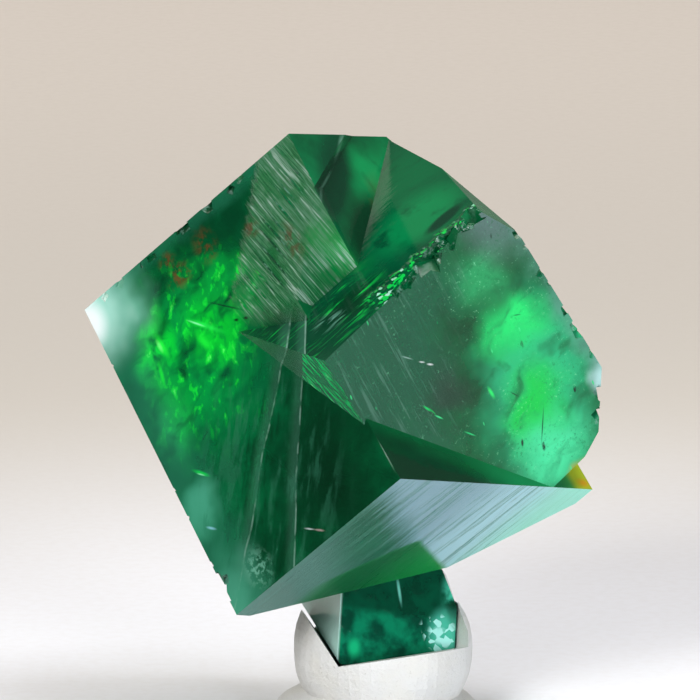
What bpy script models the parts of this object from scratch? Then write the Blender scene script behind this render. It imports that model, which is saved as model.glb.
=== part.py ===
"""Green fluorite: two cubes grown through each other as a twin, with a small third crystal below, stood in a
ball of white putty. The foot of the putty lies on z = 0 and the photographed side faces -Y."""

import math
import random

import bmesh
import bpy
from mathutils import Euler, Matrix, Vector, noise

MM = 0.001
OUT = Vector((0, 0, 1))

# Where the crystals stand. The large cube's own axes run up-left, down-left and out of its large left face.
HOST_CORNER = Vector((1.7, -19.6, 28.1)) * MM
HOST_TURN = Euler((math.radians(-73.48), math.radians(-47.47), math.radians(128.44)))
TWIN_AXIS = Vector((1, 1, 1))
TWIN_CORNER = Vector((12.58, -1.94, 5.63)) * MM

# Faces as (direction outwards in the crystal's own axes, distance from its corner in mm).
LARGE_LEFT_FACE = ((0, 0, 1), 0)
LOWER_RIGHT_FACE = ((0.060, -0.998, 0.031), 0)
LOWER_FACE = ((-0.999, 0, 0.038), 0)
LEFT_END = ((0, 1, 0), 24.7)
TOP_END = ((0.975, 0.005, 0.222), 35.98)
REAR_END = ((0, 0, -1), 29.5)
LOWER_REAR_BREAK = ((-0.414, 0.811, -0.414), 20.9)
RIGHT_REAR_BREAK = ((-0.649, 0.398, -0.649), 20.5)

# The upper third of the large cube reaches further out, down to a bevel and a recess on its right.
UPPER_RIGHT_FACE = ((0, -1, 0), 6.6)
UPPER_BEVEL = ((-0.667, -0.667, 0.333), -15.8)
RECESS_FLOOR = ((0, 1, 0), -2.95)
RECESS_UPPER_SIDE = ((0.730, 0.445, 0.519), 19.45)
RECESS_LOWER_SIDE = ((0.044, 0.883, 0.467), -4.35)

TWIN_FRONT_FACE = ((-0.083, -0.009, -0.996), 0)
TWIN_NARROW_FACE = ((1, 0, 0), 0)
TWIN_UPPER_FACE = ((0, 1, 0), 0)
TWIN_RIGHT_END = ((-0.993, 0.008, -0.114), 25.0)
TWIN_LOWER_END = ((0, -1, 0), 28.7)
TWIN_REAR_END = ((0, 0, 1), 30.0)
TWIN_TIP_BREAK = ((-0.786, -0.618, 0), 34.1)
TWIN_LOW_TIP_BREAK = ((-0.340, -0.940, 0), 33.4)

# The small crystal leans a little to the right and is broken off at its lower left.
SMALL_CENTRE = Vector((-0.5, 2.65, 7.7)) * MM
SMALL_TURN = Euler((math.radians(-18.2), math.radians(11.3), math.radians(21.1)))
SMALL_SIDE = ((-1, 0, 0), 6.4)
SMALL_FAR_SIDE = ((1, 0, 0), 6.4)
SMALL_FRONT = ((0, -1, 0), 5.0)
SMALL_REAR = ((0, 1, 0), 5.0)
SMALL_TOP = ((0, 0, 1), 6.0)
SMALL_FOOT = ((0, 0, -1), 4.8)

# The broken back and broken corners, as planes in the standing frame.
BACK_BREAKS = (((0.249, 0.956, -0.152), 11.0), ((-0.30, 0.949, -0.10), 21.6), ((0.10, 0.633, -0.768), -2.3))
TOP_BREAKS = (((0, 0.208, 0.978), 57.8), ((0.628, 0.250, 0.737), 45.4), ((0.552, 0.038, 0.833), 48.8))
SMALL_BREAKS = (((-0.834, -0.115, -0.540), 1.0), ((0.931, 0.026, 0.363), 10.7))
SIZE_TO_CUT_FROM = 160 * MM

# Striations: low ridges on the upper right of the large left face, along a line turned a little from its edge.
RIDGE_COUNT = 14
RIDGE_TOPS = (Vector((35.4, -5.2, -0.03)) * MM, Vector((33.2, 1.4, -0.03)) * MM, Vector((27.0, 8.0, -0.03)) * MM)
RIDGE_ALONG = Vector((-0.968, -0.250, 0))
RIDGE_WIDTH = 0.34 * MM
RIDGE_RISE = 0.18 * MM
BEVEL_EDGE = (Vector((21.2, 1.65, 0)) * MM, Vector((30.6, -6.5, 0)) * MM)
TWIN_EDGE = (Vector((20.7, -0.6, 0)) * MM, Vector((24.6, 9.6, 0)) * MM)

# Chipped edges, as (start, end, spread, smallest, largest, count) in mm in the crystal's own axes.
HOST_CHIPS = (
    ((36.5, -1.0, 0.0), (36.5, 23.5, 0.0), 0.25, 0.4, 1.2, 9),
    ((3.0, 24.9, 0.0), (34.0, 24.9, 0.0), 0.15, 0.3, 0.8, 6),
    ((1.2, 23.6, -0.8), (4.5, 25.0, -0.2), 0.6, 0.9, 1.8, 5),
)
TWIN_CHIPS = (
    ((-10.5, 0.0, 0.9), (-16.0, 0.1, 1.9), 0.35, 0.8, 1.4, 9),
    ((-14.0, 0.2, 2.0), (-23.5, 0.2, 2.6), 0.6, 1.2, 2.2, 16),
    ((-25.2, -3.0, 2.2), (-25.6, -22.5, 2.3), 0.25, 0.4, 1.2, 8),
    ((-24.6, -24.2, 2.2), (-20.5, -28.0, 1.9), 0.3, 0.6, 1.4, 5),
)
# Ledges on the broken back, the same way but in the standing frame.
BACK_CHIPS = (
    ((-18, 22.3, 50), (8, 17.4, 50), 1.2, 4.0, 8.0, 6),
    ((-24, 19.2, 38), (10, 15.0, 38), 1.2, 4.0, 8.0, 7),
    ((-14, 18.9, 24), (8, 13.2, 24), 1.2, 4.0, 8.0, 5),
)

BALL_RADIUS = 9.0 * MM
BALL_HEIGHT = 6.2 * MM
BALL_CUT = 0.8 * MM
DENT_DEPTH = 0.03
DENT_SPACING = 4 * MM
SKIRT_RADIUS = 10.3 * MM
SKIRT_HEIGHT = 3.2 * MM
SKIRT_PLACE = Matrix.Translation(Vector((-0.7, -0.2, 0)) * MM) @ Matrix.Rotation(math.radians(2.3), 4, "Z")
GAP = 0.3 * MM
# Above this plane the putty in front of the small crystal is pressed back to its face.
PUTTY_LIP = ((0.144, -0.206, -0.968), -5.3)


def collection(name, hidden):
    made = bpy.data.collections.new(name)
    bpy.context.scene.collection.children.link(made)
    made.hide_render = hidden
    return made


def material(name, colour, roughness, transmission, ior):
    made = bpy.data.materials.new(name)
    made.use_nodes = True
    shader = made.node_tree.nodes["Principled BSDF"]
    shader.inputs["Base Color"].default_value = colour
    shader.inputs["Roughness"].default_value = roughness
    shader.inputs["Transmission Weight"].default_value = transmission
    shader.inputs["IOR"].default_value = ior
    made.diffuse_color = colour
    return made


def add(name, shape, group, place):
    """Turn the worked shape into an object of this group."""
    mesh = bpy.data.meshes.new(name)
    bmesh.ops.recalc_face_normals(shape, faces=shape.faces[:])
    shape.to_mesh(mesh)
    shape.free()
    made = bpy.data.objects.new(name, mesh)
    made.matrix_world = place
    group.objects.link(made)
    if group.hide_render:
        made.display_type = "WIRE"
        made.hide_render = True
    return made


def cut(shape, point, direction):
    """Keep what lies behind the plane, and close the cut."""
    whole = shape.verts[:] + shape.edges[:] + shape.faces[:]
    made = bmesh.ops.bisect_plane(
        shape, geom=whole, dist=1e-7, plane_co=point, plane_no=direction, clear_outer=True
    )
    rim = [piece for piece in made["geom_cut"] if isinstance(piece, bmesh.types.BMEdge)]
    if rim:
        bmesh.ops.contextual_create(shape, geom=rim)


def crystal(name, faces, breaks, group, place, grow=0.0):
    """A block of crystal: a large cube cut by each face and then by each break in turn."""
    shape = bmesh.new()
    bmesh.ops.create_cube(shape, size=SIZE_TO_CUT_FROM)
    for direction, distance in faces:
        outwards = Vector(direction).normalized()
        cut(shape, outwards * (distance * MM + grow), outwards)
    turned_back = place.inverted()
    for direction, distance in breaks:
        outwards = Vector(direction).normalized()
        point = turned_back @ (outwards * (distance * MM + grow))
        cut(shape, point, turned_back.to_3x3() @ outwards)
    return add(name, shape, group, place)


def beyond(face):
    """The same plane, facing the other way."""
    direction, distance = face
    return (tuple(-part for part in direction), -distance)


def ridge(name, start, end, group, place):
    """A long low ridge lying half sunk in a face, pointed at both ends."""
    shape = bmesh.new()
    bmesh.ops.create_uvsphere(shape, u_segments=4, v_segments=2, radius=1)
    half = (end - start).length / 2
    bmesh.ops.scale(shape, vec=(RIDGE_RISE, RIDGE_WIDTH / 2, half), verts=shape.verts[:])
    along = (end - start).normalized()
    turn = Matrix((OUT, OUT.cross(along), along)).transposed().to_4x4()
    return add(name, shape, group, place @ Matrix.Translation((start + end) / 2) @ turn)


def reach(point, along, edge):
    """How far a line in the face runs before it meets an edge of the face."""
    side = (edge[1] - edge[0]).cross(OUT)
    return side.dot(edge[0] - point) / side.dot(along)


def chip(name, centre, size, group, place):
    """A small cleavage block, turned any way, whose corner bites out of an edge."""
    shape = bmesh.new()
    bmesh.ops.create_cube(shape, size=size)
    stretch = (1, chance.uniform(0.6, 1.5), chance.uniform(0.5, 1.1))
    bmesh.ops.scale(shape, vec=stretch, verts=shape.verts[:])
    turn = Euler([chance.uniform(0, math.pi) for _ in range(3)]).to_matrix().to_4x4()
    return add(name, shape, group, place @ Matrix.Translation(centre) @ turn)


def chips_along(name, run, group, place):
    start, end, spread, smallest, largest, count = run
    for i in range(count):
        along = (i + chance.uniform(0.1, 0.9)) / count
        centre = Vector(start).lerp(Vector(end), along)
        centre += Vector([chance.uniform(-spread, spread) for _ in range(3)])
        chip(f"{name}_{i}", centre * MM, chance.uniform(smallest, largest) * MM, group, place)


def join(target, operation, others, solver="EXACT"):
    for other in others:
        step = target.modifiers.new(f"{operation.lower()}_{other.name}", "BOOLEAN")
        step.operation = operation
        step.solver = solver
        step.object = other


for old in list(bpy.data.objects):
    bpy.data.objects.remove(old)
parts = collection("fluorite_twin", False)
helpers = collection("cutters", True)
chance = random.Random(3)

host_place = Matrix.Translation(HOST_CORNER) @ HOST_TURN.to_matrix().to_4x4()
twin_turn = Matrix.Rotation(math.pi, 4, TWIN_AXIS)
twin_place = host_place @ Matrix.Translation(TWIN_CORNER) @ twin_turn
small_place = Matrix.Translation(SMALL_CENTRE) @ SMALL_TURN.to_matrix().to_4x4()

host_block = [LARGE_LEFT_FACE, UPPER_RIGHT_FACE, LEFT_END, TOP_END, REAR_END]
notch_block = [beyond(LOWER_RIGHT_FACE), beyond(UPPER_BEVEL)]
recess_block = [RECESS_FLOOR, RECESS_UPPER_SIDE, RECESS_LOWER_SIDE]
twin_block = [
    TWIN_FRONT_FACE, TWIN_NARROW_FACE, TWIN_UPPER_FACE, TWIN_RIGHT_END, TWIN_LOWER_END,
    TWIN_REAR_END, TWIN_TIP_BREAK, TWIN_LOW_TIP_BREAK,
]
small_block = [SMALL_SIDE, SMALL_FAR_SIDE, SMALL_FRONT, SMALL_REAR, SMALL_TOP, SMALL_FOOT]
pressed_block = [SMALL_FAR_SIDE, SMALL_REAR]
underside = [LOWER_FACE, LOWER_REAR_BREAK, RIGHT_REAR_BREAK]

fluorite = crystal("fluorite", host_block, (), parts, host_place)
join(fluorite, "DIFFERENCE", [crystal("notch", notch_block, (), helpers, host_place)])
join(fluorite, "DIFFERENCE", [crystal("recess", recess_block, (), helpers, host_place)])
join(fluorite, "UNION", [crystal("twin_block", twin_block, (), helpers, twin_place)])
for i, face in enumerate(underside):
    join(fluorite, "DIFFERENCE", [crystal(f"under_{i}", [beyond(face)], (), helpers, host_place)])
for i, face in enumerate(BACK_BREAKS + TOP_BREAKS):
    join(fluorite, "DIFFERENCE", [crystal(f"break_{i}", [beyond(face)], (), helpers, Matrix())])
join(fluorite, "UNION", [crystal("small_block", small_block, SMALL_BREAKS, helpers, small_place)])

ridges = collection("ridges", True)
for i in range(RIDGE_COUNT):
    step = 2 * (i + chance.uniform(0.2, 0.8)) / RIDGE_COUNT
    first = int(step)
    top = RIDGE_TOPS[first].lerp(RIDGE_TOPS[first + 1], step - first)
    length = min(reach(top, RIDGE_ALONG, BEVEL_EDGE), reach(top, RIDGE_ALONG, TWIN_EDGE))
    ridge(f"ridge_{i}", top, top + RIDGE_ALONG * length * chance.uniform(0.75, 0.95), ridges, host_place)
join(fluorite, "UNION", ridges.objects)

chips = collection("chips", True)
for i, run in enumerate(HOST_CHIPS):
    chips_along(f"host_chip_{i}", run, chips, host_place)
for i, run in enumerate(TWIN_CHIPS):
    chips_along(f"twin_chip_{i}", run, chips, twin_place)
for i, run in enumerate(BACK_CHIPS):
    chips_along(f"back_chip_{i}", run, chips, Matrix())
join(fluorite, "DIFFERENCE", chips.objects)
fluorite.data.materials.append(material("fluorite", (0.0, 0.30, 0.13, 1), 0.05, 1.0, 1.434))

# The putty: a ball pressed flat below, with a wider skirt squeezed out round its foot.
shape = bmesh.new()
bmesh.ops.create_uvsphere(shape, u_segments=48, v_segments=24, radius=BALL_RADIUS)
for vert in shape.verts:
    vert.co *= 1 + DENT_DEPTH * noise.noise(vert.co / DENT_SPACING)
bmesh.ops.translate(shape, vec=(0, 0, BALL_HEIGHT), verts=shape.verts[:])
cut(shape, (0, 0, BALL_CUT), (0, 0, -1))
putty = add("putty", shape, parts, Matrix())

shape = bmesh.new()
bmesh.ops.create_uvsphere(shape, u_segments=48, v_segments=16, radius=1)
bmesh.ops.scale(shape, vec=(SKIRT_RADIUS, SKIRT_RADIUS, SKIRT_HEIGHT), verts=shape.verts[:])
cut(shape, (0, 0, 0), (0, 0, -1))
join(putty, "UNION", [add("skirt", shape, helpers, SKIRT_PLACE)])

pockets = [
    crystal("pocket_upper", [LARGE_LEFT_FACE, LEFT_END] + underside, BACK_BREAKS, helpers, host_place, GAP),
    crystal("pocket_small", small_block, SMALL_BREAKS, helpers, small_place, GAP),
    crystal("pressed_front", pressed_block, SMALL_BREAKS + (PUTTY_LIP,), helpers, small_place, GAP),
]
join(putty, "DIFFERENCE", pockets)
putty.data.materials.append(material("putty", (0.78, 0.76, 0.72, 1), 0.9, 0.0, 1.5))
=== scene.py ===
"""A twin of green fluorite crystals standing in a ball of white putty."""

import math

import bmesh
import bpy
from mathutils import Euler, Matrix, Vector


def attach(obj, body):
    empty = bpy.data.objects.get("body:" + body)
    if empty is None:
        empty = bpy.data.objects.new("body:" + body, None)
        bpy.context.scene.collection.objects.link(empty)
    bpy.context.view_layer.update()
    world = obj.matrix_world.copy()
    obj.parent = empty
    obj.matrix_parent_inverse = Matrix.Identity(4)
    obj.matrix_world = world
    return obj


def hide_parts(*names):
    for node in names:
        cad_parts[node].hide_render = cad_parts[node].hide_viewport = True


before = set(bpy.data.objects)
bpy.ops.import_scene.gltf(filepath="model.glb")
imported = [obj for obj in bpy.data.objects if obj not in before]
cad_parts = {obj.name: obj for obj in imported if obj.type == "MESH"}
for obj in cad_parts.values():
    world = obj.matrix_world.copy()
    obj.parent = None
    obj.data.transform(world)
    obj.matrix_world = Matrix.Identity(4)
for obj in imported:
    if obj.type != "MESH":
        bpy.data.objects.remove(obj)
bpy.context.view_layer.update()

# The crystals. Two cubes of clear green fluorite grew through each other as a twin, with a small third
# one below: one body of brittle glassy stone, with flat growth faces, some striated, and a broken back.
# Each face is sorted by its plane, so that it gets the surface that it has on the real stone.

MM = 0.001
HOST_CORNER = Vector((1.7, -19.6, 28.1)) * MM
HOST_TURN = Euler((math.radians(-73.48), math.radians(-47.47), math.radians(128.44)))
TWIN_CORNER = Vector((12.58, -1.94, 5.63)) * MM
SMALL_CENTRE = Vector((-0.5, 2.65, 7.7)) * MM
SMALL_TURN = Euler((math.radians(-18.2), math.radians(11.3), math.radians(21.1)))
host_place = Matrix.Translation(HOST_CORNER) @ HOST_TURN.to_matrix().to_4x4()
twin_place = host_place @ Matrix.Translation(TWIN_CORNER) @ Matrix.Rotation(math.pi, 4, Vector((1, 1, 1)))
small_place = Matrix.Translation(SMALL_CENTRE) @ SMALL_TURN.to_matrix().to_4x4()
standing = Matrix()

# Each growth face as (its finish, the crystal it belongs to, direction outwards, distance in mm).
GROWTH_FACES = (
    ("large left face", host_place, (0, 0, 1), 0),
    ("shaded triangle", host_place, (0.060, -0.998, 0.031), 0),
    ("striated underside", host_place, (-0.999, 0, 0.038), 0),
    ("upper faces", host_place, (0, -1, 0), 6.6),
    ("upper faces", host_place, (0, -1, 0), 2.95),
    ("upper faces", host_place, (-0.730, -0.445, -0.519), -19.45),
    ("upper faces", host_place, (-0.044, -0.883, -0.467), 4.35),
    ("upper faces", host_place, (0.975, 0.005, 0.222), 35.98),
    ("large left face", host_place, (-0.667, -0.667, 0.333), -15.8),
    ("right face", twin_place, (-0.083, -0.009, -0.996), 0),
    ("narrow faces", twin_place, (1, 0, 0), 0),
    ("dark upper band", twin_place, (0, 1, 0), 0),
    ("upper faces", standing, (0, 0.208, 0.978), 57.8),
    ("upper faces", standing, (0.628, 0.250, 0.737), 45.4),
    ("upper faces", standing, (0.552, 0.038, 0.833), 48.8),
    ("small crystal", small_place, (-1, 0, 0), 6.4),
    ("small crystal", small_place, (1, 0, 0), 6.4),
    ("small crystal", small_place, (0, -1, 0), 5.0),
    ("small crystal", small_place, (0, 1, 0), 5.0),
    ("small crystal", small_place, (0, 0, 1), 6.0),
    ("small crystal", small_place, (0, 0, -1), 4.8),
    ("small crystal", standing, (-0.834, -0.115, -0.540), 1.0),
    ("small crystal", standing, (0.931, 0.026, 0.363), 10.7),
    ("outer ends", host_place, (0, 1, 0), 24.7),
    ("outer ends", host_place, (0, 0, -1), 29.5),
    ("outer ends", twin_place, (-0.993, 0.008, -0.114), 25.0),
    ("outer ends", twin_place, (0, -1, 0), 28.7),
    ("outer ends", twin_place, (0, 0, 1), 30.0),
    ("outer ends", twin_place, (-0.786, -0.618, 0), 34.1),
    ("outer ends", twin_place, (-0.340, -0.940, 0), 33.4),
    ("broken back", host_place, (-0.414, 0.811, -0.414), 20.9),
    ("broken back", host_place, (-0.649, 0.398, -0.649), 20.5),
    ("broken back", standing, (0.249, 0.956, -0.152), 11.0),
    ("broken back", standing, (-0.30, 0.949, -0.10), 21.6),
    ("broken back", standing, (0.10, 0.633, -0.768), -2.3),
)

# The stone's inside. A face shows what lies behind it: deep green, in darker or lighter clouds of several
# millimetres, with painted glows where inner cracks catch the light, painted shade where little light
# reaches, and painted pale light where the stone thins out to a corner.

FLUORITE_IOR = 1.434
DEEP_GREEN = (0.05, 0.80, 0.50, 1)
DEEPENING = 90.0
PAINTED_LIGHT_CLEARNESS = 0.25
# Each painted glow, painted shade and painted pale light is (its centre, its reach, both in mm as the stone
# stands, its colour).
PAINTED_GLOWS = (
    ((-18.5, -1.0, 37.5), (9.5, 14.0, 13.5), "029640"),
    ((-22.8, 2.0, 36.0), (2.6, 12.0, 6.0), "08DC3C"),
    ((-17.0, -1.5, 39.5), (4.2, 10.0, 6.0), "06C832"),
    ((-20.8, 0.5, 29.5), (2.8, 10.0, 6.5), "02A83A"),
    ((-16.0, -0.5, 44.0), (7.0, 8.0, 4.0), "049A3A"),
    ((-3.0, -8.0, 47.5), (3.6, 8.0, 4.0), "08C850"),
    ((15.5, -3.0, 34.0), (9.5, 14.0, 15.0), "28B67C"),
    ((13.2, -4.5, 40.5), (5.2, 8.0, 4.6), "1EDC70"),
    ((15.2, -3.5, 31.5), (4.8, 8.0, 7.0), "0CC44C"),
    ((9.5, -7.0, 46.0), (5.5, 7.0, 5.0), "24985C"),
    ((3.0, 9.0, 53.0), (9.0, 12.0, 7.0), "0C9450"),
    ((17.6, -3.5, 27.4), (6.5, 10.0, 5.5), "44D898"),
)
PAINTED_SHADES = (
    ((-4.0, -12.0, 27.0), (9.0, 14.0, 12.0), "03361E"),
    ((-1.0, -10.0, 40.5), (8.0, 9.0, 6.0), "042F20"),
    ((-3.5, 3.0, 55.5), (4.0, 6.0, 4.5), "054026"),
)
PAINTED_PALE_LIGHTS = (
    ((-28.8, 8.0, 39.6), (7.8, 12.0, 7.2), "94E8CC"),
    ((-30.2, 8.5, 38.6), (6.2, 9.0, 6.6), "FFFFFF"),
    ((20.8, 0.5, 23.4), (3.2, 12.0, 2.6), "D0B414"),
    ((22.4, 1.5, 34.6), (3.0, 6.0, 3.4), "D8FAFF"),
    ((-15.0, -10.0, 12.5), (6.0, 6.0, 7.5), "5C9C88"),
    ((-18.6, -5.0, 21.6), (2.6, 4.0, 4.2), "54A88C"),
)
# A pattern's scale is 1 over the size of its marks in mm: clouds 9, folds 4.5, feathers 2, flashes 1.
CLOUD_SCALE = 0.11
FOLD_SCALE = 0.22
FEATHER_SCALE = 0.55
FLASH_SCALE = 0.95
FOLDS_SHIFT = 2.5


def srgb(hex_code):
    """An sRGB hex value as linear light."""
    made = []
    for i in (0, 2, 4):
        value = int(hex_code[i : i + 2], 16) / 255
        made.append(value / 12.92 if value <= 0.04045 else ((value + 0.055) / 1.055) ** 2.4)
    return (*made, 1.0)


def add_node(tree, kind, settings=None, feeds=None):
    """One node with its settings, and a value or another node on each of the named sockets."""
    made = tree.nodes.new("ShaderNode" + kind)
    for name, value in (settings or {}).items():
        setattr(made, name, value)
    for name, source in (feeds or {}).items():
        if isinstance(source, bpy.types.Node):
            source = next(out for out in source.outputs if out.enabled)
        if isinstance(source, bpy.types.NodeSocket):
            tree.links.new(source, made.inputs[name])
        else:
            made.inputs[name].default_value = source
    return made


def in_mm(tree, place):
    """Where a point of the stone lies, in millimetres along a crystal's own axes."""
    spot = add_node(tree, "TexCoord").outputs["Object"]
    turn = {"Location": place.translation, "Rotation": place.to_euler(), "Scale": (MM, MM, MM)}
    return add_node(tree, "Mapping", {"vector_type": "TEXTURE"}, {"Vector": spot, **turn})


def drawn_out(tree, where, turn, stretch, start=(0, 0, 0)):
    """The same places, turned and stretched so that a pattern is drawn out into streaks."""
    grain = {"Location": start, "Rotation": turn, "Scale": stretch}
    return add_node(tree, "Mapping", {"vector_type": "TEXTURE"}, {"Vector": where, **grain})


def patch(tree, where, centre, reach, full=0.0):
    """A soft patch: full out to that share of its reach, nothing from its reach outwards."""
    away = add_node(tree, "VectorMath", {"operation": "SUBTRACT"}, {0: where, 1: centre})
    away = add_node(tree, "VectorMath", {"operation": "DIVIDE"}, {0: away, 1: reach})
    away = add_node(tree, "VectorMath", {"operation": "LENGTH"}, {0: away})
    span = {"From Min": 1.0, "From Max": full, "To Min": 0.0, "To Max": 1.0}
    return add_node(tree, "MapRange", {"interpolation_type": "SMOOTHSTEP"}, {"Value": away, **span})


def step_up(tree, value, low, high, top=1.0):
    """A soft step: nothing below low, and top above high."""
    span = {"From Min": low, "From Max": high, "To Min": 0.0, "To Max": top}
    return add_node(tree, "MapRange", {"interpolation_type": "SMOOTHSTEP"}, {"Value": value, **span})


def both(tree, first, second):
    """Where one mask and the other hold, or one measure times another."""
    return add_node(tree, "Math", {"operation": "MULTIPLY"}, {0: first, 1: second})


def moved(tree, measure, by, share):
    """A measure moved by a share of another one: a slanted line, or an edge that wanders."""
    return add_node(tree, "Math", {"operation": "MULTIPLY_ADD"}, {0: by, 1: share, 2: measure})


def coat(tree, under, coats):
    """Lays each colour over those before it, through its mask."""
    for mask, shade in coats:
        under = add_node(tree, "MixRGB", {}, {"Fac": mask, "Color1": under, "Color2": srgb(shade)})
    return under


def inner_colour(tree):
    """The colours inside the stone with its painted glows, flashes, shade and pale light, and how much
    light is painted at each place.
    """
    spot = in_mm(tree, standing)
    folds = add_node(tree, "TexNoise", {}, {"Vector": spot, "Scale": FOLD_SCALE, "Detail": 2.0})
    bend = {0: folds.outputs["Color"], 1: (2 * FOLDS_SHIFT,) * 3, 2: spot}
    bend = add_node(tree, "VectorMath", {"operation": "MULTIPLY_ADD"}, bend)
    bend = add_node(tree, "VectorMath", {"operation": "SUBTRACT"}, {0: bend, 1: (FOLDS_SHIFT,) * 3})
    cloud = {"Vector": spot, "Scale": CLOUD_SCALE, "Detail": 4.0, "Roughness": 0.6}
    cloud = add_node(tree, "TexNoise", {}, cloud)
    feather = drawn_out(tree, bend, (0.3, 0.9, 0.5), (1.0, 1.0, 4.0))
    feather = {"Vector": feather, "Scale": FEATHER_SCALE, "Detail": 2.5, "Roughness": 0.5}
    feather = add_node(tree, "TexNoise", {}, feather)
    veil = step_up(tree, feather, 0.22, 0.58)
    thin_veil = step_up(tree, feather, 0.06, 0.54)
    flashes = drawn_out(tree, spot, (0.2, -0.45, 0.0), (1.0, 1.0, 4.5))
    flashes = {"Vector": flashes, "Scale": FLASH_SCALE, "Detail": 5.0, "Roughness": 0.6, "Distortion": 0.35}
    flashes = add_node(tree, "TexNoise", {}, flashes)
    left_side = step_up(tree, add_node(tree, "SeparateXYZ", {}, {"Vector": spot}).outputs[0], -6.0, -13.0)
    colour = coat(tree, srgb("004E2C"), [(step_up(tree, cloud, 0.40, 0.66), "027442")])
    painted_light = 0.0
    # Painted shade, then painted glows.
    for centre, reach, shade in PAINTED_SHADES:
        colour = coat(tree, colour, [(patch(tree, bend, centre, reach), shade)])
    for centre, reach, shade in PAINTED_GLOWS:
        painted_glow = both(tree, patch(tree, bend, centre, reach, 0.2), veil if centre[0] < 0 else thin_veil)
        colour = coat(tree, colour, [(painted_glow, shade)])
        painted_light = add_node(tree, "Math", {"operation": "MAXIMUM"}, {0: painted_light, 1: painted_glow})
    painted_light_on_left = both(tree, painted_light, left_side)
    # Painted flashes of light, streaked, in the painted glows on the left side, with darker streaks among
    # them.
    for low, high, strength, shade in (
        (0.46, 0.36, 0.5, "02743A"),
        (0.53, 0.62, 0.8, "14E83C"),
        (0.65, 0.70, 0.8, "58FF6C"),
    ):
        streaks_and_painted_flash = both(tree, painted_light_on_left, step_up(tree, flashes, low, high, strength))
        colour = coat(tree, colour, [(streaks_and_painted_flash, shade)])
    # Painted pale light where the stone thins out.
    for centre, reach, shade in PAINTED_PALE_LIGHTS:
        pale = patch(tree, bend, centre, reach, 0.15)
        colour = coat(tree, colour, [(pale, shade)])
        painted_light = add_node(tree, "Math", {"operation": "MAXIMUM"}, {0: painted_light, 1: pale})
    return colour, painted_light


def fluorite(name, clearness):
    """Fluorite bends light less than glass does. Its green deepens with the thickness looked through."""
    made = bpy.data.materials.new(name)
    made.use_nodes = True
    tree = made.node_tree
    shader = tree.nodes["Principled BSDF"]
    shader.inputs["IOR"].default_value = FLUORITE_IOR
    colour, painted_light = inner_colour(tree)
    # Where light is painted into the colour, the stone is made less clear, so that the painted light shows.
    span = {"To Min": clearness, "To Max": clearness * PAINTED_LIGHT_CLEARNESS}
    clear = add_node(tree, "MapRange", {}, {"Value": painted_light, **span})
    tree.links.new(clear.outputs[0], shader.inputs["Transmission Weight"])
    deepening = add_node(tree, "VolumeAbsorption", {}, {"Color": DEEP_GREEN, "Density": DEEPENING})
    tree.links.new(deepening.outputs[0], tree.nodes["Material Output"].inputs["Volume"])
    return made, tree, shader, colour


def finish(tree, shader, colour, roughness, relief, height):
    """Joins the colour, the roughness and the relief, whose height is in millimetres, to the surface."""
    bump = add_node(tree, "Bump", {}, {"Height": relief, "Distance": height * MM, "Strength": 1.0})
    for socket, source in (("Base Color", colour), ("Roughness", roughness), ("Normal", bump)):
        tree.links.new(source.outputs[0], shader.inputs[socket])


finishes = {}

# The large left face. It is glass-smooth but for hair scratches, with a rim painted paler as light comes
# through where the stone thins, brown iron stains near the top and two healed cracks. Its upper right is
# stepped: pale striations, each where a layer stopped growing, run down it side by side.

# Each crack is (where it crosses the face, its lean), each stain (its centre, its reach), all in mm.
CRACKS = ((-8.2, 0.045), (-10.9, 0.195))
CRACK_MIDDLE = 33.0
CRACK_SHAKE = 0.7
RUST_SPOTS = (
    ((31.6, 2.4, 0), (1.4, 1.5, 2)),
    ((33.6, 8.2, 0), (2.6, 2.0, 2)),
    ((32.8, 12.6, 0), (1.8, 2.2, 2)),
    ((35.0, 13.2, 0), (1.2, 1.6, 2)),
    ((27.6, -1.2, 0), (3.0, 1.6, 2)),
)
# Each stroke as (its two ends, its width, its colour): inner hairs, painted flashes of light, and
# scratches.
LEFT_STROKES = (
    ((29.3, 11.8, 0), (24.4, 6.7, 0), 0.28, "0A5430"),
    ((25.2, 9.3, 0), (24.7, 8.5, 0), 0.55, "04301A"),
    ((24.7, 8.2, 0), (24.2, 7.4, 0), 0.50, "04301A"),
    ((30.3, 18.4, 0), (26.0, 18.1, 0), 1.10, "20F444"),
    ((29.3, 18.6, 0), (27.2, 18.5, 0), 0.70, "68FF78"),
    ((28.9, 14.5, 0), (24.4, 10.5, 0), 0.80, "20F050"),
    ((28.7, 14.4, 0), (26.4, 12.4, 0), 0.30, "80FFA8"),
    ((27.2, 14.1, 0), (23.8, 13.0, 0), 1.30, "18E83C"),
    ((27.5, 19.4, 0), (23.9, 20.3, 0), 0.70, "1CE444"),
    ((15.6, 21.9, 0), (13.4, 19.9, 0), 0.60, "18E85C"),
    ((14.9, 21.5, 0), (13.9, 20.5, 0), 0.24, "90FFC0"),
    ((2.7, 13.0, 0), (1.6, 11.6, 0), 0.26, "C8D8D8"),
    ((1.9, 12.0, 0), (0.8, 10.6, 0), 0.34, "B8A4A0"),
    ((9.7, 23.4, 0), (8.5, 22.1, 0), 0.40, "88D0DC"),
    ((0.4, 0.2, 0), (7.6, 0.2, 0), 0.30, "A4BCB0"),
)
LAYER_TURN = math.atan2(0.250, 0.968)
LAYER_TILT = 0.505
LONG_STEP_SCALE = 1.15
FINE_STEP_SCALE = 4.2


def stroke(tree, where, start, end, wide):
    """A fine line between two points of a face, tapered to both ends and so wide in its middle."""
    run = Vector(end) - Vector(start)
    middle = (Vector(start) + Vector(end)) / 2
    turn = Vector((1, 0, 0)).rotation_difference(run).to_euler()
    line = drawn_out(tree, where, turn, (run.length / 2, wide / 2, wide / 2), middle)
    return step_up(tree, add_node(tree, "VectorMath", {"operation": "LENGTH"}, {0: line}), 1.0, 0.1)


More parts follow.
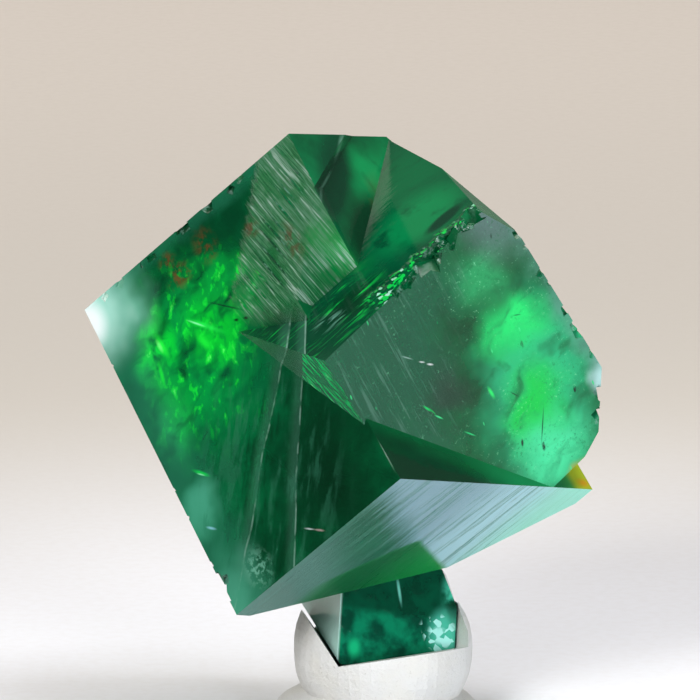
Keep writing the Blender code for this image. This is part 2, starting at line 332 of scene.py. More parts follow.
def level_line(tree, pattern, fade, core):
    """A line wherever the pattern is at its middle value, as a contour is drawn."""
    off = add_node(tree, "Math", {"operation": "SUBTRACT"}, {0: pattern, 1: 0.5})
    return step_up(tree, add_node(tree, "Math", {"operation": "ABSOLUTE"}, {0: off}), fade, core)


def cracked(tree, colour):
    """Draws the two cracks where they meet a face, each with a faint veil to its left."""
    spot = in_mm(tree, standing)
    axes = add_node(tree, "SeparateXYZ", {}, {"Vector": spot})
    rightwards, upwards = axes.outputs[0], axes.outputs[2]
    shake = add_node(tree, "TexNoise", {}, {"Vector": spot, "Scale": 0.07, "Detail": 3.0, "Roughness": 0.5})
    fade = add_node(tree, "TexNoise", {}, {"Vector": spot, "Scale": 0.6, "Detail": 3.0})
    low = step_up(tree, upwards, 46.0, 42.0)
    for at, lean in CRACKS:
        level = moved(tree, CRACK_MIDDLE * lean - at, upwards, -lean)
        off = add_node(tree, "Math", {"operation": "ADD"}, {0: rightwards, 1: level})
        off = moved(tree, off, shake, 2 * CRACK_SHAKE)
        off = add_node(tree, "Math", {"operation": "SUBTRACT"}, {0: off, 1: CRACK_SHAKE})
        line = add_node(tree, "Math", {"operation": "ABSOLUTE"}, {0: off})
        line = both(tree, step_up(tree, line, 0.12, 0.03, 0.5), step_up(tree, fade, 0.38, 0.62))
        haze = both(tree, step_up(tree, off, -1.2, -0.2), step_up(tree, off, 0.1, 0.0, 0.22))
        colour = coat(tree, colour, [(both(tree, haze, low), "5C9C84"), (both(tree, line, low), "9CC4B4")])
    return colour


made, tree, shader, inner = fluorite("growth face of clear fluorite", 0.45)
spot = in_mm(tree, host_place)
axes = add_node(tree, "SeparateXYZ", {}, {"Vector": spot})
along_top, along_left = axes.outputs[0], axes.outputs[1]
wobble = add_node(tree, "TexNoise", {}, {"Vector": spot, "Scale": 0.35, "Detail": 3.0})

# Upright veils inside the lower half, then the cracks, and the rim painted paler with light where the stone
# thins, up to a painted white highlight at the left corner.
stood = in_mm(tree, standing)
veils = {"Vector": stood, "Rotation": (0, 0.10, 0), "Scale": (1.0, 1.0, 0.07)}
veils = add_node(tree, "Mapping", {}, veils)
veils = add_node(tree, "TexNoise", {}, {"Vector": veils, "Scale": 0.75, "Detail": 5.0, "Roughness": 0.65})
veiled = patch(tree, stood, (-11.0, -9.0, 24.0), (11.0, 14.0, 17.0), 0.5)
colour = coat(tree, inner, [(both(tree, veiled, step_up(tree, veils, 0.50, 0.62, 0.35)), "3C8C6C")])
colour = coat(tree, colour, [(both(tree, veiled, step_up(tree, veils, 0.47, 0.36, 0.6)), "02381E")])
colour = cracked(tree, colour)
rim = moved(tree, along_left, wobble, 2.0)
top_rim = moved(tree, along_top, wobble, 2.0)
painted_rim_light_coats = [
    (step_up(tree, rim, 18.5, 24.5, 0.65), "2E8A68"),
    (step_up(tree, rim, 25.5, 26.4, 0.3), "6CB0A0"),
    (step_up(tree, top_rim, 35.8, 37.6, 0.5), "2C8C68"),
    (patch(tree, spot, (36.6, 25.2, 0), (8.5, 8.0, 5.0), 0.1), "A8E8D8"),
    (patch(tree, spot, (35.2, 25.0, 0), (3.4, 3.0, 5.0), 0.3), "F4FFFF"),
]
colour = coat(tree, colour, painted_rim_light_coats)

# The stepped ledge: long pale lines a millimetre apart and fine ones between them, all straight down it.
layers = add_node(tree, "SeparateXYZ", {}, {"Vector": drawn_out(tree, spot, (0, 0, LAYER_TURN), (1, 1, 1))})
down = layers.outputs[0]
across = moved(tree, layers.outputs[1], layers.outputs[2], LAYER_TILT)
stretched = add_node(tree, "CombineXYZ", {}, {"X": both(tree, down, 0.04), "Y": across})
lines = add_node(tree, "TexNoise", {}, {"Vector": stretched, "Scale": 2.0, "Detail": 7.0, "Roughness": 0.8})
long_steps = {"Vector": stretched, "Scale": LONG_STEP_SCALE, "Detail": 3.0, "Roughness": 0.55}
long_line = level_line(tree, add_node(tree, "TexNoise", {}, long_steps), 0.018, 0.004)
fine_steps = {"Vector": stretched, "Scale": FINE_STEP_SCALE, "Detail": 3.0, "Roughness": 0.6}
fine_line = level_line(tree, add_node(tree, "TexNoise", {}, fine_steps), 0.06, 0.015)
left_edge = moved(tree, moved(tree, down, across, 0.58), lines, 5.0)
foot = moved(tree, moved(tree, down, across, -0.9), lines, -9.0)
ledge = both(tree, step_up(tree, left_edge, 31.6, 30.6), step_up(tree, across, 2.2, 0.8))
ledge = both(tree, ledge, step_up(tree, foot, 18.0, 22.0))
# A painted glow on part of the ledge.
ledge_glow = patch(tree, spot, (23.0, -4.6, 0), (6.0, 3.4, 9), 0.3)
thick = step_up(tree, across, -5.0, -9.5)
patchy = step_up(tree, wobble, 0.36, 0.56)
ledge_coats = [
    (both(tree, ledge, 0.75), "06823E"),
    (both(tree, ledge, ledge_glow), "06C04C"),
    (both(tree, both(tree, ledge, thick), step_up(tree, lines, 0.42, 0.60, 0.40)), "6C987C"),
    (both(tree, both(tree, ledge, fine_line), step_up(tree, patchy, 0.0, 1.0, 0.40)), "84B49C"),
    (both(tree, both(tree, ledge, long_line), step_up(tree, wobble, 0.30, 0.62, 0.85)), "BCDCCC"),
]
colour = coat(tree, colour, ledge_coats)

# Iron stains, a bruise near the foot, and the strokes.
rust = add_node(tree, "TexNoise", {}, {"Vector": spot, "Scale": 0.9, "Detail": 5.0, "Roughness": 0.7})
for centre, reach in RUST_SPOTS:
    stain = both(tree, patch(tree, spot, centre, reach), step_up(tree, rust, 0.46, 0.56, 0.9))
    colour = coat(tree, colour, [(stain, "6E4828")])
bruise = both(tree, patch(tree, spot, (2.4, 19.8, 0), (2.8, 2.4, 2)), step_up(tree, rust, 0.48, 0.56))
colour = coat(tree, colour, [(bruise, "74BCA0")])
for start, end, wide, shade in LEFT_STROKES:
    colour = coat(tree, colour, [(stroke(tree, spot, start, end, wide), shade)])
gloss = moved(tree, step_up(tree, ledge, 0.0, 1.0, 0.18), wobble, 0.06)
finish(tree, shader, colour, gloss, both(tree, lines, ledge), 0.07)
finishes["large left face"] = made

# The right face of the twin. Fine growth lines run over its left half, which is painted with a grey silk
# sheen; its right half is clear and shows the painted glow inside, with dark flecks, and its broken margin
# is painted a paler grey lilac where the stone thins.

# Each stroke as (its two ends, its width, its colour): painted green sparkles and white glints, and dark
# dashes.
RIGHT_STROKES = (
    ((-6.47, -11.3, 0.64), (-7.1, -12.8, 0.7), 0.34, "1CF078"),
    ((-7.0, -13.0, 0.7), (-7.75, -14.3, 0.78), 0.26, "50FFA0"),
    ((-6.9, -11.9, 0.7), (-7.3, -13.4, 0.74), 0.22, "18C860"),
    ((-8.8, -16.7, 0.88), (-9.9, -18.4, 0.99), 0.24, "28E888"),
    ((-13.7, -14.8, 1.28), (-13.7, -16.8, 1.29), 0.60, "2CF474"),
    ((-18.3, -20.6, 1.71), (-15.0, -24.7, 1.47), 0.24, "0C4A30"),
    ((-8.6, -7.4, 0.75), (-9.3, -8.1, 0.85), 0.24, "F0FAF8"),
    ((-9.2, -8.2, 0.85), (-10.0, -9.0, 0.9), 0.30, "F8FFFF"),
    ((-7.2, -5.4, 0.6), (-8.4, -7.0, 0.75), 0.22, "A8D0C4"),
    ((-15.4, -17.0, 1.4), (-16.2, -18.6, 1.5), 0.22, "0C4A30"),
    ((-20.0, -11.0, 1.8), (-21.2, -11.8, 1.9), 0.20, "0C4A30"),
)
SILK_SCALE = 2.2
made, tree, shader, inner = fluorite("growth face of clear fluorite with painted silk sheen", 0.40)
spot = in_mm(tree, twin_place)
axes = add_node(tree, "SeparateXYZ", {}, {"Vector": spot})
outwards, downwards = axes.outputs[0], axes.outputs[1]
wobble = add_node(tree, "TexNoise", {}, {"Vector": spot, "Scale": 0.25, "Detail": 4.0})
silk = {"Vector": drawn_out(tree, spot, (0, 0, 0.06), (1.0, 18.0, 1.0)), "Scale": SILK_SCALE}
silk = add_node(tree, "TexNoise", {}, {**silk, "Detail": 5.0, "Roughness": 0.7})
reach_in = moved(tree, moved(tree, outwards, downwards, 0.6), wobble, 8.0)
painted_sheen = both(tree, step_up(tree, reach_in, -17.5, -9.5), step_up(tree, silk, 0.05, 0.50))
margin = moved(tree, outwards, wobble, 5.0)
flecks = drawn_out(tree, spot, (0, 0, 0.5), (1.0, 2.6, 1.0))
flecks = add_node(tree, "TexVoronoi", {}, {"Vector": flecks, "Scale": 0.55, "Randomness": 1.0})
fleck = both(tree, step_up(tree, flecks.outputs["Distance"], 0.13, 0.08), step_up(tree, wobble, 0.48, 0.55))
fleck = both(tree, fleck, step_up(tree, reach_in, -14.0, -18.0))
glints = drawn_out(tree, spot, (0, 0, 0.2), (0.7, 2.0, 1.0), (3, 1, 0))
glints = add_node(tree, "TexVoronoi", {}, {"Vector": glints, "Scale": 0.7, "Randomness": 1.0})
painted_glint = both(tree, step_up(tree, glints.outputs["Distance"], 0.12, 0.06), step_up(tree, wobble, 0.46, 0.40))
dust = add_node(tree, "TexNoise", {}, {"Vector": spot, "Scale": 2.6, "Detail": 5.0, "Roughness": 0.75})
dusty = step_up(tree, wobble, 0.34, 0.60)
darker_grey_patch = patch(tree, spot, (-9.4, -12.6, 0.9), (5.0, 5.5, 3.0))
# Painted silk sheen on the left half, painted pale grey lilac light at the top tip and margin, dark flecks,
# painted green glints, light and dark dust, and a darker grey patch.
right_coats = [
    (both(tree, painted_sheen, step_up(tree, silk, -1.0, 0.0, 0.85)), "236C50"),
    (both(tree, painted_sheen, step_up(tree, silk, 0.54, 0.66, 0.4)), "74A894"),
    (patch(tree, spot, (-24.5, 0.5, 2.0), (6.5, 9.0, 6.0), 0.2), "6C8C88"),
    (step_up(tree, margin, -20.8, -23.6, 0.6), "6CA898"),
    (fleck, "123A2C"),
    (painted_glint, "3CE088"),
    (both(tree, dusty, step_up(tree, dust, 0.46, 0.36, 0.55)), "167A4C"),
    (both(tree, dusty, step_up(tree, dust, 0.58, 0.70, 0.6)), "7CDCA8"),
    (both(tree, darker_grey_patch, step_up(tree, wobble, 0.36, 0.58, 0.75)), "2A463A"),
]
colour = coat(tree, inner, right_coats)
for start, end, wide, shade in RIGHT_STROKES:
    colour = coat(tree, colour, [(stroke(tree, spot, start, end, wide), shade)])
finish(tree, shader, colour, moved(tree, 0.05, painted_sheen, 0.22), silk, 0.03)
finishes["right face"] = made

# The narrow faces. A strip of the twin shows between the two big faces, smooth, and crossed by the same
# cracks. Its lower end is lens-shaped and painted with a bright green glow that flashes, streaked along its
# length.
FLASH_STREAKS = 1.9
made, tree, shader, inner = fluorite("narrow growth face of clear fluorite", 0.35)
spot = in_mm(tree, twin_place)
axes = add_node(tree, "SeparateXYZ", {}, {"Vector": spot})
colour = cracked(tree, coat(tree, inner, [(0.7, "0A6C44")]))
lens = step_up(tree, moved(tree, axes.outputs[2], axes.outputs[1], 0.93), 4.5, 4.1)
streaks_and_painted_flash = {"Vector": drawn_out(tree, spot, (0.5, 0, 0), (1.0, 5.0, 1.0)), "Scale": FLASH_STREAKS}
streaks_and_painted_flash = add_node(tree, "TexNoise", {}, {**streaks_and_painted_flash, "Detail": 4.0, "Distortion": 0.3})
# The lens, painted with a green glow that flashes bright, with darker streaks.
lens_coats = [
    (lens, "049058"),
    (both(tree, lens, step_up(tree, streaks_and_painted_flash, 0.48, 0.60)), "0CE076"),
    (both(tree, lens, step_up(tree, streaks_and_painted_flash, 0.64, 0.70)), "8CFFB0"),
    (both(tree, lens, step_up(tree, streaks_and_painted_flash, 0.42, 0.36)), "1A6C58"),
]
finish(tree, shader, coat(tree, colour, lens_coats), both(tree, streaks_and_painted_flash, 0.16), streaks_and_painted_flash, 0.05)
finishes["narrow faces"] = made

# The dark upper band. It looks up into the notch between the crystals and is painted very dark as shade,
# with wavy growth lines. The walls round it keep the room's light off, so it reflects little. Where it
# meets the right face it is crushed to crumbs of about 0.4 mm, painted glittering.
SHELTERED = 0.2
CRUMB_SCALE = 2.6
made, tree, shader, inner = fluorite("shaded growth face of clear fluorite", 0.18)
shader.inputs["Specular IOR Level"].default_value = SHELTERED
spot = in_mm(tree, twin_place)
axes = add_node(tree, "SeparateXYZ", {}, {"Vector": spot})
inwards, from_edge = axes.outputs[0], axes.outputs[2]
waves = drawn_out(tree, spot, (0, 0, 0), (7.0, 1.0, 1.0))
waves = add_node(tree, "TexNoise", {}, {"Vector": waves, "Scale": 1.6, "Detail": 4.0, "Distortion": 0.9})
near_notch = step_up(tree, inwards, -13.5, -9.0)
clouds = add_node(tree, "TexNoise", {}, {"Vector": spot, "Scale": 0.28, "Detail": 3.0})
clouded = patch(tree, spot, (-20.0, 0, 9.5), (8.0, 4.0, 6.5), 0.3)
clouded = both(tree, clouded, step_up(tree, clouds, 0.30, 0.50))
crumb = add_node(tree, "TexVoronoi", {}, {"Vector": spot, "Scale": CRUMB_SCALE, "Randomness": 1.0})
crumbs = add_node(tree, "SeparateXYZ", {}, {"Vector": crumb.outputs["Color"]})
ragged = add_node(tree, "TexNoise", {}, {"Vector": spot, "Scale": 0.5, "Detail": 3.0})
crushed = step_up(tree, moved(tree, from_edge, ragged, 3.0), 6.2, 4.8)
crushed = both(tree, crushed, step_up(tree, inwards, -7.5, -9.5))
frosted = patch(tree, spot, (-4.6, 0, 5.6), (2.6, 4.0, 2.2))
frosted = both(tree, frosted, step_up(tree, waves, 0.46, 0.56, 0.8))
# Painted shade over the whole band, darker in patches, growth lines near the notch, lighter clouds, and
# crumbs with painted glitter.
band_coats = [
    (0.75, "04402A"),
    (patch(tree, spot, (-7.6, 0, 5.4), (5.5, 4.0, 4.0), 0.3), "02301C"),
    (both(tree, near_notch, step_up(tree, waves, 0.52, 0.62, 0.55)), "0A7C3A"),
    (both(tree, near_notch, step_up(tree, waves, 0.62, 0.68, 0.7)), "14C848"),
    (clouded, "088048"),
    (patch(tree, spot, (-21.0, 0, 6.0), (3.2, 4.0, 1.3), 0.5), "033C26"),
    (both(tree, crushed, 0.7), "035A34"),
    (both(tree, crushed, step_up(tree, crumbs.outputs[0], 0.62, 0.68)), "10D050"),
    (both(tree, crushed, step_up(tree, crumbs.outputs[1], 0.90, 0.93)), "A8E4CC"),
    (frosted, "6CA494"),
]
colour = cracked(tree, coat(tree, inner, band_coats))
low_waves = both(tree, waves, 0.1)
relief = {"Fac": crushed, "Color1": low_waves, "Color2": crumb.outputs["Color"]}
finish(tree, shader, colour, both(tree, waves, 0.14), add_node(tree, "MixRGB", {}, relief), 0.25)
finishes["dark upper band"] = made

# The shaded triangle. It faces down into the notch under the right face; it is painted dark as shade there,
# and painted lighter towards its upper edge. Its thin right tip lets warm light through, painted amber,
# with a speck of rust.
made, tree, shader, inner = fluorite("notch face of clear fluorite", 0.25)
shader.inputs["Specular IOR Level"].default_value = SHELTERED
spot = in_mm(tree, host_place)
axes = add_node(tree, "SeparateXYZ", {}, {"Vector": spot})
to_tip = axes.outputs[2]
wobble = add_node(tree, "TexNoise", {}, {"Vector": spot, "Scale": 0.3, "Detail": 4.0})
below = moved(tree, moved(tree, axes.outputs[0], to_tip, -0.404), wobble, 2.0)
amber = both(tree, step_up(tree, to_tip, -26.2, -27.6), step_up(tree, wobble, 0.34, 0.50))
rust = patch(tree, spot, (-0.3, -0.9, -28.6), (0.8, 1.5, 1.4))
rust = both(tree, rust, step_up(tree, wobble, 0.40, 0.50))
triangle_coats = [
    (0.9, "01301C"),
    (step_up(tree, below, 5.5, 9.8, 0.8), "046A38"),
    (both(tree, step_up(tree, to_tip, -9.0, -20.0), step_up(tree, below, 4.0, 8.0)), "108048"),
    (step_up(tree, to_tip, -24.6, -26.8, 0.7), "3CA044"),
    (amber, "A0B024"),
    (rust, "C89418"),
]
finish(tree, shader, coat(tree, inner, triangle_coats), both(tree, wobble, 0.12), wobble, 0.05)
finishes["shaded triangle"] = made

# The striated underside. Low steps run straight across it, a few tenths of a millimetre apart, and frost
# it. Over the frost it is painted lilac white where light comes through the thin right end, and grey green
# to the left, with a clear window over the small crystal, bounded by two straight edges and partly painted
# darker as shade.
STEP_SCALE = 1.6
made, tree, shader, inner = fluorite("striated and frosted face of fluorite", 0.12)
spot = in_mm(tree, host_place)
axes = add_node(tree, "SeparateXYZ", {}, {"Vector": spot})
sideways, to_end = axes.outputs[1], axes.outputs[2]
steps = {"Vector": drawn_out(tree, spot, (0.05, 0, 0), (1.0, 26.0, 1.0)), "Scale": STEP_SCALE}
steps = add_node(tree, "TexNoise", {}, {**steps, "Detail": 7.0, "Roughness": 0.75})
inwards = moved(tree, moved(tree, to_end, sideways, 1.5), steps, -16.0)
frost_and_painted_light = step_up(tree, inwards, -0.5, -9.5)
window_left = step_up(tree, moved(tree, both(tree, sideways, 0.611), to_end, -0.792), 16.1, 16.9)
window_right = step_up(tree, moved(tree, both(tree, sideways, 0.902), to_end, 0.431), 2.8, 3.7)
window = both(tree, both(tree, window_left, window_right), step_up(tree, to_end, -5.5, -9.5))
shade = {"Value": to_end, "From Min": -19.0, "From Max": -12.0, "To Min": 0.0, "To Max": 0.8}
underside_coats = [
    (0.75, "206850"),
    (step_up(tree, steps, 0.46, 0.64, 0.7), "4C8874"),
    (step_up(tree, inwards, 2.0, 14.0, 0.7), "648E86"),
    (frost_and_painted_light, "80A8B4"),
    (step_up(tree, to_end, -12.0, -20.0, 0.8), "ACDCE4"),
    (both(tree, frost_and_painted_light, step_up(tree, steps, 0.50, 0.42, 0.6)), "34806F"),
    (step_up(tree, to_end, -20.0, -27.0, 0.75), "90E8C8"),
    (window, "0C9444"),
    (both(tree, window, add_node(tree, "MapRange", {}, shade)), "045232"),
]
finish(tree, shader, coat(tree, inner, underside_coats), moved(tree, 0.08, steps, 0.5), steps, 0.18)
finishes["striated underside"] = made

# The upper faces. They lie in the recess at the top, sheltered too: smooth, painted mid green to dark as
# shade in the recess, with brown iron stains below and two pale veins.
VEINS = (((-3.7, 1.0, 59.6), (-5.0, 1.0, 54.2)), ((-4.9, 1.0, 54.8), (-7.0, 1.0, 52.6)))
made, tree, shader, inner = fluorite("recessed growth face of clear fluorite", 0.15)
shader.inputs["Specular IOR Level"].default_value = SHELTERED
spot = in_mm(tree, standing)
wobble = add_node(tree, "TexNoise", {}, {"Vector": spot, "Scale": 0.25, "Detail": 4.0})
brown = patch(tree, spot, (-0.6, 5.0, 51.5), (2.2, 9.0, 3.6))
brown = both(tree, brown, step_up(tree, wobble, 0.44, 0.60, 0.5))
# Painted shade and lighter green in the recess, and an iron stain.
recess_coats = [
    (patch(tree, spot, (-5.6, 4.0, 54.0), (3.4, 12.0, 7.0), 0.5), "023E26"),
    (patch(tree, spot, (0.5, 4.0, 54.5), (3.6, 12.0, 6.0), 0.3), "0A8C50"),
    (patch(tree, spot, (-1.2, 3.0, 48.5), (4.0, 12.0, 5.0), 0.4), "02361E"),
    (brown, "4E4A22"),
]
colour = coat(tree, inner, recess_coats)
flat = {"Vector": spot, "Scale": (1.0, 0.0, 1.0), "Location": (0.0, 1.0, 0.0)}
flat = add_node(tree, "Mapping", {}, flat)
for start, end in VEINS:
    vein = both(tree, stroke(tree, flat, start, end, 0.9), step_up(tree, wobble, 0.30, 0.60, 0.6))
    colour = coat(tree, colour, [(vein, "74A890")])
finish(tree, shader, colour, both(tree, wobble, 0.12), wobble, 0.06)
finishes["upper faces"] = made

# The small crystal. Its upper half is painted dark as shade under the big one; below it is clear bluish
# green, with painted sparkles and pale light at its broken right edge. Its left side is painted a pale grey
# white.
SPARKLE_SCALE = 1.6
made, tree, shader, inner = fluorite("small crystal of clear fluorite", 0.25)
spot = in_mm(tree, small_place)
axes = add_node(tree, "SeparateXYZ", {}, {"Vector": spot})
wobble = add_node(tree, "TexNoise", {}, {"Vector": spot, "Scale": 0.5, "Detail": 5.0})
crumb = add_node(tree, "TexVoronoi", {}, {"Vector": spot, "Scale": SPARKLE_SCALE, "Randomness": 1.0})
crumbs = add_node(tree, "SeparateXYZ", {}, {"Vector": crumb.outputs["Color"]})
broken_edge = patch(tree, spot, (4.8, -5.0, -0.6), (3.4, 4.0, 3.0))
painted_sparkle = add_node(tree, "Math", {"operation": "ADD"}, {0: crumbs.outputs[0], 1: broken_edge})
upper_right = patch(tree, spot, (6.2, -5.0, 3.6), (2.0, 3.0, 3.4), 0.3)
# Painted shade on the upper half, a pale left side, and painted sparkles and pale light at the broken right
# edge.
small_coats = [
    (step_up(tree, wobble, 0.36, 0.66), "034A36"),
    (step_up(tree, axes.outputs[2], 0.4, 1.4, 0.8), "023E2A"),
    (step_up(tree, axes.outputs[0], -6.1, -6.5, 0.95), "D8FFF6"),
    (both(tree, upper_right, step_up(tree, wobble, 0.40, 0.60)), "4CD0AC"),
    (both(tree, patch(tree, spot, (5.4, -5.0, -0.4), (2.6, 4.0, 3.2), 0.4), 0.7), "5CE0C0"),
    (step_up(tree, painted_sparkle, 1.04, 1.30), "B8FFF4"),
    (patch(tree, spot, (-4.6, -5.0, -3.0), (1.0, 2.0, 1.4), 0.2), "18C080"),
    (stroke(tree, spot, (-0.5, -5.0, 5.2), (0.4, -5.0, 1.4), 0.5), "78D8C4"),
]
colour = coat(tree, srgb("0C8A62"), small_coats)
finish(tree, shader, colour, both(tree, wobble, 0.14), wobble, 0.12)
finishes["small crystal"] = made

# The outer ends and the broken back. The ends are growth faces dulled by etching; the back broke off in
# uneven steps and shells, which scatter light. Chipped edges are crumbs of fresh breaks, and long edges
# are worn pale.

# Each is (its name, clearness, least and most roughness, scale of its grain, relief in mm, paleness).
BREAKS = (
    ("outer ends", 0.25, (0.10, 0.35), 0.5, 0.15, 0.30),
    ("broken back", 0.30, (0.20, 0.50), 0.35, 0.60, 0.22),
    ("chipped edges", 0.35, (0.05, 0.25), 1.3, 0.20, 0.45),
    ("worn edges", 0.15, (0.15, 0.40), 1.1, 0.05, 0.60),
)
for name, clearness, (smoothest, roughest), grain_scale, height, pale in BREAKS:
    made, tree, shader, inner = fluorite(f"{name} of clear fluorite", clearness)
    spot = in_mm(tree, standing)
    grain = {"Vector": spot, "Scale": grain_scale, "Detail": 7.0, "Roughness": 0.65}
    grain = add_node(tree, "TexNoise", {}, grain)
    shells = {"Vector": spot, "Scale": grain_scale, "Smoothness": 0.3}
    shells = add_node(tree, "TexVoronoi", {"feature": "SMOOTH_F1"}, shells)
    relief = {"Fac": 0.5, "Color1": grain, "Color2": shells.outputs["Distance"]}
    colour = coat(tree, inner, [(step_up(tree, grain, 0.50, 0.62, pale), "8CBCAC")])
    gloss = add_node(tree, "MapRange", {}, {"Value": grain, "To Min": smoothest, "To Max": roughest})
    finish(tree, shader, colour, gloss, add_node(tree, "MixRGB", {}, relief), height)
    finishes[name] = made

# The stone itself, from the solid. A face that lies on one of the planes takes that plane's finish, any
# other is a break or, when small, a chip. Edges are worn only where two faces meet at a clear angle.
FINISHES = tuple(finishes)
SAME_PLANE = 0.06 * MM
SAME_TURN = math.cos(math.radians(1.5))
LARGE_BREAK = 2 * MM**2
WORN_EDGE = 0.06 * MM
LONG_EDGE = 0.6 * MM
CLEAR_ANGLE = math.radians(12)
shape = bmesh.new()
shape.from_mesh(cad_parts["fluorite"].data)
bmesh.ops.remove_doubles(shape, verts=shape.verts[:], dist=0.001 * MM)
bmesh.ops.dissolve_limit(shape, angle_limit=math.radians(0.4), verts=shape.verts[:], edges=shape.edges[:])
planes = []
for finish_name, place, direction, distance in GROWTH_FACES:
    outwards = (place.to_3x3() @ Vector(direction)).normalized()
    point = place @ (Vector(direction).normalized() * distance * MM)
    planes.append((FINISHES.index(finish_name), outwards, outwards.dot(point)))
for face in shape.faces:
    face.smooth = False
    fresh_break = "broken back" if face.calc_area() > LARGE_BREAK else "chipped edges"
    face.material_index = FINISHES.index(fresh_break)
    middle = face.calc_center_median()
    for index, outwards, level in planes:
        if face.normal.dot(outwards) > SAME_TURN and abs(outwards.dot(middle) - level) < SAME_PLANE:
            face.material_index = index
            break
worn = shape.edges.layers.float.new("bevel_weight_edge")
for edge in shape.edges:
    between_two = len(edge.link_faces) == 2
    if between_two and edge.calc_length() > LONG_EDGE and edge.calc_face_angle() > CLEAR_ANGLE:
        edge[worn] = 1.0
crystal_mesh = bpy.data.meshes.new("fluorite_crystals")
shape.to_mesh(crystal_mesh)
shape.free()
for name in FINISHES:
    crystal_mesh.materials.append(finishes[name])
if "custom_normal" in crystal_mesh.attributes:
    crystal_mesh.attributes.remove(crystal_mesh.attributes["custom_normal"])
crystals = bpy.data.objects.new("fluorite_crystals", crystal_mesh)
bpy.context.scene.collection.objects.link(crystals)
wear = crystals.modifiers.new("worn edges", "BEVEL")
wear.limit_method = "WEIGHT"
wear.width = WORN_EDGE
wear.segments = 1
wear.material = FINISHES.index("worn edges")
wear.use_clamp_overlap = True
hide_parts("fluorite")
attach(crystals, "root")

# The putty. A ball of soft white mounting putty, rolled by hand and pressed down flat, with the crystal
# pushed in. It is matt, and pitted with pores of about 0.4 mm that hold a little dirt.
PORE_SCALE = 2.4
putty = bpy.data.materials.new("mounting putty, hand rolled")
putty.use_nodes = True
tree = putty.node_tree
spot = in_mm(tree, standing)
tone = add_node(tree, "TexNoise", {}, {"Vector": spot, "Scale": 0.3, "Detail": 3.0})
pores = {"Vector": spot, "Scale": PORE_SCALE, "Detail": 4.0, "Roughness": 0.7}
pores = add_node(tree, "TexNoise", {}, pores)
putty_coats = [(step_up(tree, tone, 0.4, 0.7), "D8D6D0"), (step_up(tree, pores, 0.60, 0.75, 0.6), "A8A298")]
colour = coat(tree, srgb("D8D7D4"), putty_coats)
matt = add_node(tree, "MapRange", {}, {"Value": pores, "To Min": 0.75, "To Max": 0.95})
finish(tree, tree.nodes["Principled BSDF"], colour, matt, pores, 0.15)
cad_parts["putty"].data.materials.clear()
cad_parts["putty"].data.materials.append(putty)

# The studio. A wide matt white card to stand on, painted darker as shade from about 4 cm round the stone
# and lighter again far behind, soft light from the whole room, dimmer in front than behind, and five soft
# boxes.
FLOOR_SIZE = 6.0
FIBRE_SCALE = 900.0
shape = bmesh.new()
bmesh.ops.create_grid(shape, x_segments=2, y_segments=2, size=FLOOR_SIZE / 2)
floor_mesh = bpy.data.meshes.new("white_card")
shape.to_mesh(floor_mesh)
shape.free()
floor = bpy.data.objects.new("white_card", floor_mesh)
bpy.context.scene.collection.objects.link(floor)
card = bpy.data.materials.new("matt white card")
card.use_nodes = True
tree = card.node_tree
spot = add_node(tree, "TexCoord").outputs["Object"]
fibre = add_node(tree, "TexNoise", {}, {"Vector": spot, "Scale": FIBRE_SCALE})
away = add_node(tree, "VectorMath", {"operation": "LENGTH"}, {0: spot})
# Painted shade on the card from 4 to 16 cm out, lighter again out to 40 cm, and fibres.
card_coats = [
    (step_up(tree, away, 0.04, 0.16), "CCC7BE"),
    (step_up(tree, away, 0.16, 0.40), "E6E0D8"),
    (step_up(tree, fibre, 0.3, 0.8, 0.1), "C8C0B4"),
]
matt = add_node(tree, "MapRange", {}, {"Value": fibre, "To Min": 0.85, "To Max": 0.95})
finish(tree, tree.nodes["Principled BSDF"], coat(tree, srgb("E6E7EA"), card_coats), matt, fibre, 0.02)
floor.data.materials.append(card)

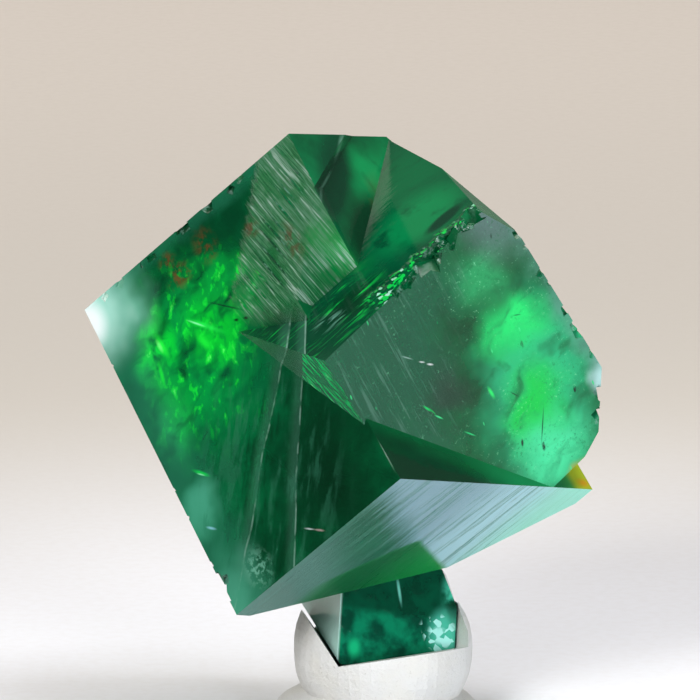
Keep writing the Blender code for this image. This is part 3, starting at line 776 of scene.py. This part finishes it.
room = bpy.data.worlds.new("soft room light")
room.use_nodes = True
tree = room.node_tree
towards = add_node(tree, "TexCoord").outputs["Generated"]
facing = add_node(tree, "SeparateXYZ", {}, {"Vector": towards}).outputs[1]
span = {"From Min": -0.2, "From Max": 0.7, "To Min": 0.06, "To Max": 0.24}
brightness = add_node(tree, "MapRange", {}, {"Value": facing, **span})
tree.nodes["Background"].inputs["Color"].default_value = srgb("F4F0EA")
tree.links.new(brightness.outputs[0], tree.nodes["Background"].inputs["Strength"])
bpy.context.scene.world = room
AIM = Vector((-3.3, -5.2, 38.1)) * MM
# Each soft box is (its name, place, target, side in metres, power in watts, colour).
SOFT_BOXES = (
    ("overhead", (0.07, 0.03, 0.26), (0.0, 0.02, 0), 0.10, 0.34, "F2F6FF"),
    ("front left", (-0.5, -0.8, 0.6), AIM, 0.4, 9, "FFFFFF"),
    ("low right", (0.45, -0.75, 0.10), AIM, 0.2, 2.8, "F0F6FF"),
    ("low front", (0.30, -0.40, 0.07), (0, 0, 0.01), 0.12, 0.7, "F4F8FF"),
    ("room behind", (0, 0.7, 1.3), (0, 0.5, 0), 1.0, 10.8, "FFF4EA"),
)
for name, place, target, side, watts, colour in SOFT_BOXES:
    light = bpy.data.lights.new(name, "AREA")
    light.size = side
    light.energy = watts
    light.color = srgb(colour)[:3]
    soft_box = bpy.data.objects.new(name, light)
    soft_box.location = place
    soft_box.rotation_euler = (Vector(target) - Vector(place)).to_track_quat("-Z", "Y").to_euler()
    bpy.context.scene.collection.objects.link(soft_box)

CAMERA_RISE = math.radians(12)
CAMERA_AWAY = 1.4
camera = bpy.data.objects.new("camera", bpy.data.cameras.new("camera"))
camera.data.sensor_width = 36
camera.data.lens = 720
camera.data.clip_start = 0.1
camera.data.clip_end = 20
camera.location = AIM + Vector((0, -math.cos(CAMERA_RISE), math.sin(CAMERA_RISE))) * CAMERA_AWAY
camera.rotation_euler = (math.pi / 2 - CAMERA_RISE, 0, 0)
bpy.context.scene.collection.objects.link(camera)
bpy.context.scene.camera = camera
bpy.context.scene.view_settings.view_transform = "Standard"
